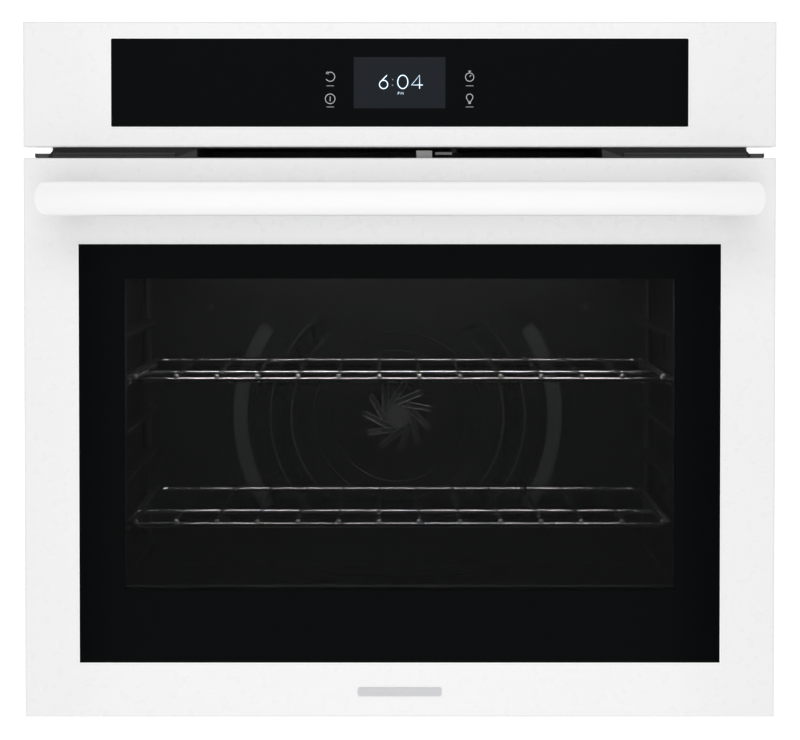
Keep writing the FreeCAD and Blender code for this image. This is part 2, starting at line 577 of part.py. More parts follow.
def build_door_inner():
    pack = ring_block(300, (100, 456), 280, (120, 436), (-38, -9.2), 0, 0)
    rear_pocket = box((-292.3, 292.3), (-13.2, -9), (107.7, 448.3))
    front_pocket = box((-292.3, 292.3), (-39, -34), (107.7, 448.3))
    keep("glass_pack_frame", cut(pack, [rear_pocket, front_pocket]))
    panes = [box((-292, 292), y, (108, 448)) for y in ((-13.2, -9.2), (-38, -34))]
    keep("door_inner_glasses", panes)

    liner = box((-370, 370), (-30, LINER_REAR_Y), (18, 552))
    liner = liner.makeFillet(3, [e for e in liner.Edges if abs(e.CenterOfMass.y - LINER_REAR_Y) < 1e-6])
    room = box((-368.8, 368.8), (-31, LINER_REAR_Y - SKIN), (19.2, 550.8))
    window = rounded_block((-285, 285), (-20, 0), (115, 441), 14)
    tools = [room, window]
    for side in (-1, 1):
        slot_x = sorted((side * (HINGE_X - 10), side * (HINGE_X + 10)))
        tools.append(box(slot_x, (-32, 0), (10, 46)))
    keep("door_liner", cut(liner, tools))

    wool = box((-328, 328), (-36, -9.2), (48, 548))
    tools = [box((-300, 300), (-40, 0), (100, 456))]
    for side in (-1, 1):
        post_x = sorted((side * 316, side * 340))
        tools.append(box(post_x, (-40, 0), (HANDLE_Z - 16, HANDLE_Z + 16)))
    keep("door_insulation", cut(wool, tools))

    screws = []
    for x in (-250, -125, 0, 125, 250):
        for z in (95, 461):
            head_z = 88 if z < 200 else 468
            screws.append(pan_screw((x, LINER_REAR_Y, head_z), (0, 1, 0), 2.0, 1.2, 3.9, 1.6))
    liner_holes = [rod((s.BoundBox.Center.x, -12, s.BoundBox.Center.z),
                       (s.BoundBox.Center.x, 0, s.BoundBox.Center.z), 2.0) for s in screws]
    PARTS["door_liner"] = [cut(PARTS["door_liner"][0], liner_holes)]
    keep("door_screws", screws)


def build_handle():
    centre_y = FRONT_Y - HANDLE_STANDOFF - HANDLE_DEPTH / 2
    half_h = HANDLE_HEIGHT / 2
    front_y = centre_y - HANDLE_DEPTH / 2
    crown_r = (half_h ** 2 + HANDLE_CROWN ** 2) / (2 * HANDLE_CROWN)
    bar = box((-HANDLE_HALF, HANDLE_HALF), (front_y, front_y + HANDLE_DEPTH), (HANDLE_Z - half_h, HANDLE_Z + half_h))
    axis_y = front_y + crown_r
    bar = bar.common(rod((-HANDLE_HALF, axis_y, HANDLE_Z), (HANDLE_HALF, axis_y, HANDLE_Z), crown_r))
    bar = round_edges(bar, 5.0, "x")
    bulge = 9.0
    x_in = HANDLE_HALF - bulge
    right_arc = Part.Arc(V(x_in, 0, -half_h), V(HANDLE_HALF, 0, 0), V(x_in, 0, half_h)).toShape()
    left_arc = Part.Arc(V(-x_in, 0, half_h), V(-HANDLE_HALF, 0, 0), V(-x_in, 0, -half_h)).toShape()
    low = Part.makeLine(V(-x_in, 0, -half_h), V(x_in, 0, -half_h))
    high = Part.makeLine(V(x_in, 0, half_h), V(-x_in, 0, half_h))
    outline = Part.Face(Part.Wire([low, right_arc, high, left_arc]))
    outline.translate(V(0, centre_y - 30, HANDLE_Z))
    bar = bar.common(outline.extrude(V(0, 60, 0)))
    mounts = []
    bar_tools = []
    screws = []
    for side in (-1, 1):
        x = side * 330
        foot = rounded_block((x - 12, x + 12), (centre_y + 2, FRONT_Y), (HANDLE_Z - 14, HANDLE_Z + 14), 10)
        bar_tools.append(foot)
        for dz in (-9, 9):
            z = HANDLE_Z + dz
            thread = rod((x, FRONT_Y - 14, z), (x, FRONT_Y, z), 2.0)
            foot = foot.cut(thread)
            screws.append(pan_screw((x, FRONT_Y + SKIN, z), (0, 1, 0), 2.0, SKIN + 14, 4.2, 2.4))
        mounts.append(foot)
    keep("handle_bar", cut(bar, bar_tools))
    keep("handle_mounts", mounts)
    PARTS["door_screws"] += screws


def build_hinges():
    sets = {"hinge_channels": [], "hinge_pins": [], "hinge_arms": [], "hinge_receivers": [], "hinge_springs": []}
    for side in (-1, 1):
        x = side * HINGE_X
        outer = prism_yz([(-44, 0), (-34, -4), (-20, 4), (-14, 8), (-14, 240), (-44, 240)], (x - 8, x + 8))
        room = box((x - 6.5, x + 6.5), (-42.5, -15.5), (-10, 238.5))
        gate = box((x - 6.5, x + 6.5), (-30, -10), (-10, 60))
        pin_hole = rod((x - 12, HINGE_Y, HINGE_Z), (x + 12, HINGE_Y, HINGE_Z), HINGE_PIN_R)
        tail = box((x - 12, x + 12), (-60, -42.5), (-10, 6))
        sets["hinge_channels"].append(cut(outer, [room, gate, pin_hole, tail]))
        sets["hinge_pins"].append(rod((x - 8, HINGE_Y, HINGE_Z), (x + 8, HINGE_Y, HINGE_Z), HINGE_PIN_R))

        eye = rod((x - 2.5, HINGE_Y, HINGE_Z), (x + 2.5, HINGE_Y, HINGE_Z), 9)
        blade = prism_yz([(HINGE_Y, 7), (40, 7), (40, 12), (62, 12), (62, 24), (12, 24), (-2, 21), (HINGE_Y, 21)],
                         (x - 2.5, x + 2.5))
        bore = rod((x - 5, HINGE_Y, HINGE_Z), (x + 5, HINGE_Y, HINGE_Z), HINGE_PIN_R + RUN_CLEARANCE)
        notch = box((x - 5, x + 5), (4, 10), (20, 30))
        sets["hinge_arms"].append(cut(fuse([eye, blade]), [bore, notch]))

        shell = box((x - 7, x + 7), (0, 80), (3, 33))
        hollow = box((x - 5.5, x + 5.5), (-1, 81), (4.5, 31.5))
        stop = box((x - 5.5, x + 5.5), (63, 66), (4.5, 31.5))
        sets["hinge_receivers"].append(fuse([shell.cut(hollow), stop]))

        turns = 16
        helix = Part.makeHelix(5.2, turns * 5.2, 4.6)
        section = Part.Wire(Part.makeCircle(0.9, V(4.6, 0, 0), V(0, 1, 0)))
        coil = helix.makePipeShell([section], True, True)
        coil.translate(V(x, -34, 90))
        hook_high = rod((x, -34, 172), (x, -34, 238.5), 1.5)
        cap_high = Part.makeCylinder(5.6, 3, V(x, -34, 172))
        cap_low = Part.makeCylinder(5.6, 3, V(x, -34, 88.5))
        link = rod((x, -34, 40), (x, -34, 88.5), 1.5)
        sets["hinge_springs"].append(fuse([coil, cap_high, cap_low, hook_high, link]))
    for name, solids in sets.items():
        keep(name, solids)


# ---- gasket, racks, export ------------------------------------------------------------
def build_gasket():
    outer = rounded_block((-327, 327), (-7.6, -FRAME_THICK), (63, 550), 46)
    inner = rounded_block((-315, 315), (-9, 0), (75, 538), 36)
    ring = outer.cut(inner)
    keep("door_gasket", ring.makeFillet(2.5, [e for e in ring.Edges if e.BoundBox.YMax < -7.5]))


def build_racks():
    for name, level in RACK_LEVELS.items():
        rail_z = level - 4.0
        half = 286.0
        middle = (RACK_FRONT_Y + RACK_BACK_Y) / 2
        loop = [(-half, middle, rail_z), (-half, RACK_FRONT_Y, rail_z), (half, RACK_FRONT_Y, rail_z),
                (half, RACK_BACK_Y, rail_z), (-half, RACK_BACK_Y, rail_z), (-half, middle, rail_z)]
        frame = bent_rod(loop, 16, 2.7)
        bars = [frame, rod((-half, 200, rail_z), (half, 200, rail_z), 2.4)]
        for k in range(RACK_WIRES):
            x = (k - (RACK_WIRES - 1) / 2) * RACK_PITCH
            bars.append(rod((x, RACK_FRONT_Y - 2.5, level), (x, RACK_BACK_Y + 2.5, level), 2.0))
        keep(name, fuse(bars))


def build_frame_screws():
    screws = []
    for side in (-1, 1):
        for z in (30, 150, 300, 450, 600):
            screws.append(pan_screw((side * CHASSIS_HALF, 566, z), (side, 0, 0), 1.8, 1.0, 3.6, 2.0))
    PARTS["chassis_screws"] += screws


def export_all():
    os.makedirs("parts", exist_ok=True)
    for name, solids in sorted(PARTS.items()):
        for solid in solids:
            if not solid.isValid() or solid.Volume <= 0:
                print("BAD SHAPE", name, solid.isValid(), solid.Volume)
        shape = solids[0] if len(solids) == 1 else Part.makeCompound(solids)
        print(name, len(shape.Solids), "solids", round(shape.Volume), "mm3")
        shape.exportStep("parts/" + name + ".step")


build_front_frame()
build_chassis()
build_cavity()
build_insulation()
build_fan_cover()
build_convection_fan()
build_elements()
build_lamp()
build_cooling()
build_latch()
build_vent_trim()
build_control_panel()
build_electrics()
build_door_skin()
build_door_inner()
build_handle()
build_hinges()
build_gasket()
build_racks()
build_frame_screws()
export_all()
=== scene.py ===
import math

import bmesh
import bpy
from bpy.props import FloatProperty, FloatVectorProperty, PointerProperty
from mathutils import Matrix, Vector


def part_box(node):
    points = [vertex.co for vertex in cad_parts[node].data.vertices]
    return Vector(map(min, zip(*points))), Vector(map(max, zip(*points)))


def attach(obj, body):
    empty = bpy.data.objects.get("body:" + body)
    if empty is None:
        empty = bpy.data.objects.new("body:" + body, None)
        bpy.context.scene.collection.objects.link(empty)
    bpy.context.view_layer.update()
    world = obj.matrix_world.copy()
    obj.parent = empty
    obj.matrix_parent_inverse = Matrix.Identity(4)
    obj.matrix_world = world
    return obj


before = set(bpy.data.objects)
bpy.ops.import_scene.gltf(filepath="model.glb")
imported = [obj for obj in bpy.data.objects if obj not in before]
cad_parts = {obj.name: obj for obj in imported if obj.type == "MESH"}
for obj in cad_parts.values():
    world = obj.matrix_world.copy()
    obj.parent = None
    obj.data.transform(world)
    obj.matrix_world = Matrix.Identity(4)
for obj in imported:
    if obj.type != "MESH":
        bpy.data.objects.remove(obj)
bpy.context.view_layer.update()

bl_info = {
    "name": "Wall Oven Looks",
    "version": (1, 0, 0),
    "blender": (4, 5, 0),
    "location": "3D View > Sidebar > Oven",
    "description": "Finishes, fine pieces and studio of a built-in wall oven",
    "category": "Object",
}


# ---- settings -------------------------------------------------------------------------
class OvenSizes(bpy.types.PropertyGroup):
    """Sizes of the fine pieces."""

    digit_height: FloatProperty(
        name="Digit height", description="Height of the clock digits",
        default=0.0135, unit="LENGTH")
    digit_stroke: FloatProperty(
        name="Digit stroke", description="Radius of the lines that draw the digits",
        default=0.00048, unit="LENGTH")
    key_radius: FloatProperty(
        name="Key radius", description="Radius of the round touch key marks",
        default=0.0049, unit="LENGTH")
    trim_width: FloatProperty(
        name="Trim width", description="Width of the bright line around each glass",
        default=0.0011, unit="LENGTH")
    window_half: FloatProperty(
        name="Window half width", description="Half width of the see-through part of the door glass",
        default=0.2795, unit="LENGTH")
    window_low: FloatProperty(
        name="Window low edge", description="Height of the low edge of the see-through part",
        default=0.1187, unit="LENGTH")
    window_high: FloatProperty(
        name="Window high edge", description="Height of the high edge of the see-through part",
        default=0.4353, unit="LENGTH")
    louvre_depth: FloatProperty(
        name="Louvre depth", description="How far the pressed louvres stand out of a panel",
        default=0.004, unit="LENGTH")
    floor_drop: FloatProperty(
        name="Floor drop", description="Distance from the chassis underside to the studio floor",
        default=1.4, unit="LENGTH")


def colour_prop(label, words, value):
    return FloatVectorProperty(name=label, description=words, default=value, size=3,
                               subtype="COLOR", min=0.0, max=1.0)


class OvenColours(bpy.types.PropertyGroup):
    """Colours of the finishes."""

    white: colour_prop("White enamel", "Enamel of the door and control panel", (0.715, 0.714, 0.720))
    handle: colour_prop("Handle white", "Coating of the handle", (0.735, 0.735, 0.735))
    glass_black: colour_prop("Glass black", "Printing behind the black glass", (0.0020, 0.0024, 0.0026))
    display: colour_prop("Display", "Lit background of the clock", (0.0140, 0.0165, 0.0210))
    digits: colour_prop("Digits", "Light of the clock digits", (0.62, 0.80, 0.95))
    # This print colour also drives the painted glow of the key marks and rules.
    marks: colour_prop("Key marks", "Printed touch key marks", (0.42, 0.42, 0.43))
    enamel: colour_prop("Cavity enamel", "Porcelain of the cavity and liner", (0.0115, 0.0115, 0.0110))
    zinc: colour_prop("Zinc sheet", "Zinc coated chassis sheet", (0.40, 0.41, 0.42))
    chrome: colour_prop("Rack plating", "Bright plating of the racks", (0.80, 0.80, 0.81))
    wool: colour_prop("Insulation", "Glass fibre blanket", (0.74, 0.66, 0.42))


# ---- shader arithmetic ----------------------------------------------------------------
class Sock:
    """A shader socket that can be used in arithmetic."""

    def __init__(self, tree, socket):
        self.tree = tree
        self.socket = socket

    def node(self, kind, settings=None, inputs=None, out=0):
        """Adds a node: settings first, then socket values or links."""
        made = self.tree.nodes.new(kind)
        for key, value in (settings or {}).items():
            if key == "stops":
                ramp = made.color_ramp
                while len(ramp.elements) < len(value):
                    ramp.elements.new(0.5)
                for element, (place, colour) in zip(ramp.elements, value):
                    element.position = place
                    element.color = (*colour, 1.0)
            else:
                setattr(made, key, value)
        for key, value in (inputs or {}).items():
            if isinstance(value, Sock):
                self.tree.links.new(value.socket, made.inputs[key])
            else:
                made.inputs[key].default_value = value
        return Sock(self.tree, made.outputs[out])

    def math(self, operation, *others):
        values = {0: self}
        for index, other in enumerate(others):
            values[index + 1] = other
        return self.node("ShaderNodeMath", {"operation": operation}, values)

    def __add__(self, other):
        return self.math("ADD", other)

    __radd__ = __add__

    def __mul__(self, other):
        return self.math("MULTIPLY", other)

    __rmul__ = __mul__

    def __sub__(self, other):
        return self.math("SUBTRACT", other)

    def __rsub__(self, other):
        return (self * -1.0) + other

    def __abs__(self):
        return self.math("ABSOLUTE")

    def over(self, edge):
        """1 where the value is above the edge, else 0."""
        return self.math("GREATER_THAN", edge)

    def under(self, edge):
        return self.math("LESS_THAN", edge)

    def power(self, exponent):
        return self.math("POWER", exponent)

    def wave(self, length):
        """Smooth wave from 0 to 1 that repeats every length."""
        return (self * (2 * math.pi / length)).math("SINE") * 0.5 + 0.5

    def clamp(self):
        return self.math("MAXIMUM", 0.0).math("MINIMUM", 1.0)

    def axes(self):
        """The three parts of a vector socket."""
        parts = self.node("ShaderNodeSeparateXYZ", None, {0: self})
        return [Sock(self.tree, parts.socket.node.outputs[i]) for i in range(3)]

    def scaled(self, x, y, z):
        return self.node("ShaderNodeVectorMath", {"operation": "MULTIPLY"}, {0: self, 1: (x, y, z)})

    def noise(self, scale, detail=3.0, rough=0.5):
        return self.node("ShaderNodeTexNoise", None,
                         {"Vector": self, "Scale": scale, "Detail": detail, "Roughness": rough})

    def cells(self, scale, out="Distance"):
        return self.node("ShaderNodeTexVoronoi", None, {"Vector": self, "Scale": scale}, out)

    def between(self, low, high):
        """Mixes two colours by this value."""
        made = self.node("ShaderNodeMix", {"data_type": "RGBA"}, None, 2)
        node = made.socket.node
        self.tree.links.new(self.socket, node.inputs[0])
        for slot, colour in ((6, low), (7, high)):
            if isinstance(colour, Sock):
                self.tree.links.new(colour.socket, node.inputs[slot])
            else:
                node.inputs[slot].default_value = (*colour, 1.0)
        return made


def shade(colour, factor):
    return tuple(min(1.0, part * factor) for part in colour)


def finish(name, recipe, **constants):
    """Makes a material. The recipe takes object-space place and gives the varying inputs."""
    material = bpy.data.materials.new(name)
    material.use_nodes = True
    tree = material.node_tree
    shader = tree.nodes["Principled BSDF"]
    for key, value in constants.items():
        shader.inputs[key.replace("_", " ")].default_value = value
    place_node = tree.nodes.new("ShaderNodeTexCoord")
    place = Sock(tree, place_node.outputs["Object"])
    looks = recipe(place)
    height = looks.pop("Height", None)
    depth = looks.pop("Depth", 0.0005)
    if height is not None:
        bump = place.node("ShaderNodeBump", None, {"Strength": 0.6, "Distance": depth, "Height": height})
        tree.links.new(bump.socket, shader.inputs["Normal"])
    for key, value in looks.items():
        if isinstance(value, Sock):
            tree.links.new(value.socket, shader.inputs[key])
        elif isinstance(value, tuple):
            shader.inputs[key].default_value = (*value, 1.0)
        else:
            shader.inputs[key].default_value = value
    return material


def enamel_paint(name, colour, gloss):
    """Gloss enamel over pressed steel: faint orange peel and slight tone drift."""
    def recipe(place):
        drift = place.noise(5.0, 2.0)
        peel = place.noise(420.0, 2.0)
        dust = place.noise(60.0, 4.0)
        return {"Base Color": drift.between(shade(colour, 0.985), shade(colour, 1.012)),
                "Roughness": dust * 0.08 + gloss, "Height": peel, "Depth": 0.00006}
    return finish(name, recipe, Specular_IOR_Level=0.35, Coat_Weight=0.2, Coat_Roughness=0.08)


def porcelain(name, colour, fleck):
    """Dark porcelain enamel with pale flecks."""
    def recipe(place):
        flecks = place.cells(420.0).under(0.16) * place.noise(90.0, 2.0).over(0.5)
        tone = place.noise(7.0, 3.0).between(shade(colour, 0.85), shade(colour, 1.2))
        return {"Base Color": (flecks * fleck).between(tone, (0.45, 0.46, 0.50)),
                "Roughness": place.noise(30.0, 3.0) * 0.16 + 0.22,
                "Height": place.noise(160.0, 3.0), "Depth": 0.00015}
    return finish(name, recipe, Specular_IOR_Level=0.4, Coat_Weight=0.25, Coat_Roughness=0.15)


def zinc_sheet(name, colour, scale):
    """Zinc coated sheet with crystal spangle and faint rolling lines."""
    def recipe(place):
        spangle = place.cells(scale, "Color").axes()[0]
        roll = place.scaled(1.0, 14.0, 14.0).noise(26.0, 3.0)
        tone = spangle.between(shade(colour, 0.80), shade(colour, 1.18))
        return {"Base Color": tone, "Roughness": spangle * 0.22 + roll * 0.12 + 0.24,
                "Height": roll + spangle * 0.4, "Depth": 0.0001}
    return finish(name, recipe, Metallic=0.9)


def satin(name, colour, rough, metal=0.0, grain=380.0, depth=0.00012):
    """Satin painted or moulded surface with fine grain."""
    def recipe(place):
        grains = place.noise(grain, 3.0)
        drift = place.noise(14.0, 3.0)
        return {"Base Color": drift.between(shade(colour, 0.82), shade(colour, 1.18)),
                "Roughness": drift * 0.14 + rough, "Height": grains, "Depth": depth}
    return finish(name, recipe, Metallic=metal)


def plating(name, colour):
    """Bright plated wire with fine drawing lines and slight hazing."""
    def recipe(place):
        haze = place.noise(120.0, 3.0)
        lines = place.scaled(6.0, 1.0, 6.0).noise(300.0, 2.0)
        return {"Base Color": haze.between(shade(colour, 0.9), shade(colour, 1.06)),
                "Roughness": haze * 0.16 + 0.12, "Height": lines, "Depth": 0.00003}
    return finish(name, recipe, Metallic=1.0)


def turned_steel(name, colour, axis):
    """Turned or ground steel with rings across the axis."""
    def recipe(place):
        along = place.axes()[axis]
        rings = (along + place.noise(60.0) * 0.0006).wave(0.0009)
        haze = place.noise(80.0, 3.0)
        return {"Base Color": haze.between(shade(colour, 0.8), shade(colour, 1.15)),
                "Roughness": haze * 0.2 + 0.2, "Height": rings, "Depth": 0.00005}
    return finish(name, recipe, Metallic=1.0)


def heater_sheath(name):
    """Heater tube, blued and oxidised by heat."""
    def recipe(place):
        heat = place.noise(16.0, 4.0)
        spots = place.noise(240.0, 3.0)
        tone = heat.between((0.045, 0.042, 0.045), (0.14, 0.115, 0.10))
        return {"Base Color": tone, "Roughness": spots * 0.25 + 0.35, "Height": spots, "Depth": 0.00012}
    return finish(name, recipe, Metallic=0.7)


def fibre(name, colour, scale, depth):
    """Loose glass fibre or woven seal."""
    def recipe(place):
        tangle = place.scaled(1.0, 3.0, 1.0).noise(scale, 6.0, 0.7)
        lumps = place.noise(scale * 0.1, 3.0)
        tone = (tangle * 0.6 + lumps * 0.4).between(shade(colour, 0.6), shade(colour, 1.3))
        return {"Base Color": tone, "Roughness": tangle * 0.1 + 0.86, "Height": tangle + lumps, "Depth": depth}
    return finish(name, recipe, Sheen_Weight=0.2)


def window_glass(name, colour, sizes):
    """Black printed border around a dark see-through field with a fine coating."""
    def recipe(place):
        x, _, z = place.axes()
        middle = (sizes.window_low + sizes.window_high) / 2
        half = (sizes.window_high - sizes.window_low) / 2
        field = abs(x).under(sizes.window_half) * abs(z - middle).under(half)
        lines = z.wave(0.0021) * 0.6 + place.noise(260.0, 2.0) * 0.4
        veil = lines * 0.10 + 0.42
        alpha = (field * (1.0 - veil)) * -1.0 + 1.0
        tone = field.between(colour, (0.0022, 0.0022, 0.0021))
        smear = place.noise(9.0, 3.0)
        return {"Base Color": tone, "Alpha": alpha, "Roughness": smear * 0.05 + 0.05}
    return finish(name, recipe, Specular_IOR_Level=0.008)


def control_glass(name, black, display):
    """Back-printed black glass with a slightly lit clock field."""
    def recipe(place):
        x, _, z = place.axes()
        field = abs(x + 0.00025).under(0.0463) * abs(z - 0.63345).under(0.02585)
        smear = place.noise(11.0, 3.0)
        tone = (field * 0.94).between(black, display)
        return {"Base Color": tone, "Roughness": smear * 0.05 + 0.06,
                "Height": place.noise(300.0, 2.0), "Depth": 0.00001}
    return finish(name, recipe, Specular_IOR_Level=0.01)


def clear_pane(name):
    """Clear heat-reflecting pane with a green edge."""
    def recipe(place):
        x, _, z = place.axes()
        rim = (abs(x).over(0.2905) + z.under(0.1095) + z.over(0.4465)).clamp()
        tone = rim.between((0.15, 0.17, 0.165), (0.10, 0.30, 0.22))
        haze = place.noise(12.0, 4.0)
        return {"Base Color": tone, "Alpha": rim * 0.6 + haze * 0.03 + 0.05, "Roughness": haze * 0.06 + 0.05}
    return finish(name, recipe, Specular_IOR_Level=0.1)


def pressed_glass(name, colour, alpha):
    def recipe(place):
        waves = place.noise(110.0, 2.0)
        return {"Base Color": waves.between(shade(colour, 0.9), colour), "Alpha": waves * 0.15 + alpha,
                "Roughness": waves * 0.2 + 0.08, "Height": waves, "Depth": 0.0004}
    return finish(name, recipe, Specular_IOR_Level=0.5)


def board(name, axis, level):
    """Green circuit board with copper tracks; what stands above the level is dark parts."""
    def recipe(place):
        parts = place.axes()
        above = parts[axis].over(level)
        u, v = [parts[i] for i in range(3) if i != axis]
        tracks = (u.wave(0.0052).over(0.86) + v.wave(0.0077).over(0.88)).clamp()
        green = tracks.between((0.016, 0.10, 0.045), (0.05, 0.20, 0.09))
        dark = place.noise(22.0, 1.0).over(0.52).between((0.02, 0.02, 0.022), (0.05, 0.06, 0.10))
        return {"Base Color": above.between(green, dark), "Roughness": place.noise(200.0) * 0.2 + 0.35,
                "Height": tracks + place.noise(300.0), "Depth": 0.0001}
    return finish(name, recipe)


def laminations(name, axis, step):
    """Stacked motor laminations, varnished dark between plates."""
    def recipe(place):
        along = place.axes()[axis]
        plates = along.wave(step)
        rust = place.noise(40.0, 4.0)
        tone = (plates * 0.7 + rust * 0.3).between((0.10, 0.095, 0.09), (0.42, 0.41, 0.40))
        return {"Base Color": tone, "Roughness": rust * 0.25 + 0.38, "Height": plates, "Depth": 0.0003}
    return finish(name, recipe, Metallic=0.75)


def brushed(name, colour, stretch, rough):
    """Sheet brushed along one axis."""
    def recipe(place):
        hair = place.scaled(*stretch).noise(500.0, 2.0)
        return {"Base Color": hair.between(shade(colour, 0.86), shade(colour, 1.1)),
                "Roughness": hair * 0.16 + rough, "Height": hair, "Depth": 0.00004}
    return finish(name, recipe, Metallic=1.0)


def glow(name, colour, strength):
    """Softly lit mark behind glass."""
    def recipe(place):
        grain = place.noise(900.0, 1.0)
        return {"Base Color": colour, "Emission Color": grain.between(shade(colour, 0.92), colour),
                "Roughness": grain * 0.1 + 0.4}
    return finish(name, recipe, Emission_Strength=strength, Specular_IOR_Level=0.1)


# ---- mesh helpers ---------------------------------------------------------------------
def new_piece(name, mesh_or_curve, body, material):
    piece = bpy.data.objects.new(name, mesh_or_curve)
    bpy.context.scene.collection.objects.link(piece)
    mesh_or_curve.materials.append(material)
    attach(piece, body)
    return piece


def mesh_from(build, name, bevel=0.0, segments=2):
    """Runs a bmesh building function, softens its edges and returns the mesh."""
    work = bmesh.new()
    build(work)
    if bevel > 0:
        sharp = [e for e in work.edges if len(e.link_faces) == 2 and e.calc_face_angle(0) > 0.6]
        bmesh.ops.bevel(work, geom=sharp, offset=bevel, segments=segments, affect="EDGES", clamp_overlap=True)
    bmesh.ops.recalc_face_normals(work, faces=work.faces)
    mesh = bpy.data.meshes.new(name)
    work.to_mesh(mesh)
    work.free()
    return mesh


def add_block(work, low, high):
    made = bmesh.ops.create_cube(work, size=1.0)
    size = [h - l for l, h in zip(low, high)]
    centre = [(h + l) / 2 for l, h in zip(low, high)]
    bmesh.ops.scale(work, vec=size, verts=made["verts"])
    bmesh.ops.translate(work, vec=centre, verts=made["verts"])


def add_rim(work, outer, inner, y):
    """Flat rectangular rim in the XZ plane. outer and inner are (x half, low z, high z)."""
    rings = []
    for half, low, high in (outer, inner):
        for depth in y:
            corners = [(-half, low), (half, low), (half, high), (-half, high)]
            rings.append([work.verts.new((x, depth, z)) for x, z in corners])
    front_out, back_out, front_in, back_in = rings
    for i in range(4):
        j = (i + 1) % 4
        work.faces.new((front_out[i], front_out[j], front_in[j], front_in[i]))
        work.faces.new((back_out[i], back_out[j], back_in[j], back_in[i]))
        work.faces.new((front_out[i], front_out[j], back_out[j], back_out[i]))
        work.faces.new((front_in[i], front_in[j], back_in[j], back_in[i]))


def add_arc_strip(work, centre, radii, angles, y, steps=28):
    """Curved strip in the XZ plane between two radii, angles in degrees, front and back y."""
    rows = []
    for k in range(steps + 1):
        angle = math.radians(angles[0] + (angles[1] - angles[0]) * k / steps)
        across = (math.cos(angle), math.sin(angle))
        row = []
        for radius, depth in ((radii[0], y[0]), (radii[1], y[0]), (radii[1], y[1]), (radii[0], y[1])):
            x = centre[0] + radius * across[0]
            z = centre[1] + radius * across[1]
            row.append(work.verts.new((x, depth, z)))
        rows.append(row)
    for here, there in zip(rows, rows[1:]):
        for i in range(4):
            j = (i + 1) % 4
            work.faces.new((here[i], here[j], there[j], there[i]))
    work.faces.new(rows[0])
    work.faces.new(list(reversed(rows[-1])))


def stroke_curve(name, strokes, radius):
    """Round-ended lines through lists of points; a stroke is (points, closed)."""
    curve = bpy.data.curves.new(name, "CURVE")
    curve.dimensions = "3D"
    curve.bevel_depth = radius
    curve.bevel_resolution = 2
    for points, closed in strokes:
        line = curve.splines.new("POLY")
        line.points.add(len(points) - 1)
        for target, point in zip(line.points, points):
            target.co = (*point, 1.0)
        line.use_cyclic_u = closed
    return curve


def arc_points(centre, radius, start, end, y, count=28, squash=1.0):
    """Points on an arc in the XZ plane; angles in degrees from +X towards +Z."""
    points = []
    for k in range(count):
        angle = math.radians(start + (end - start) * k / (count - 1))
        x = centre[0] + radius * squash * math.cos(angle)
        z = centre[1] + radius * math.sin(angle)
        points.append((x, y, z))
    return points


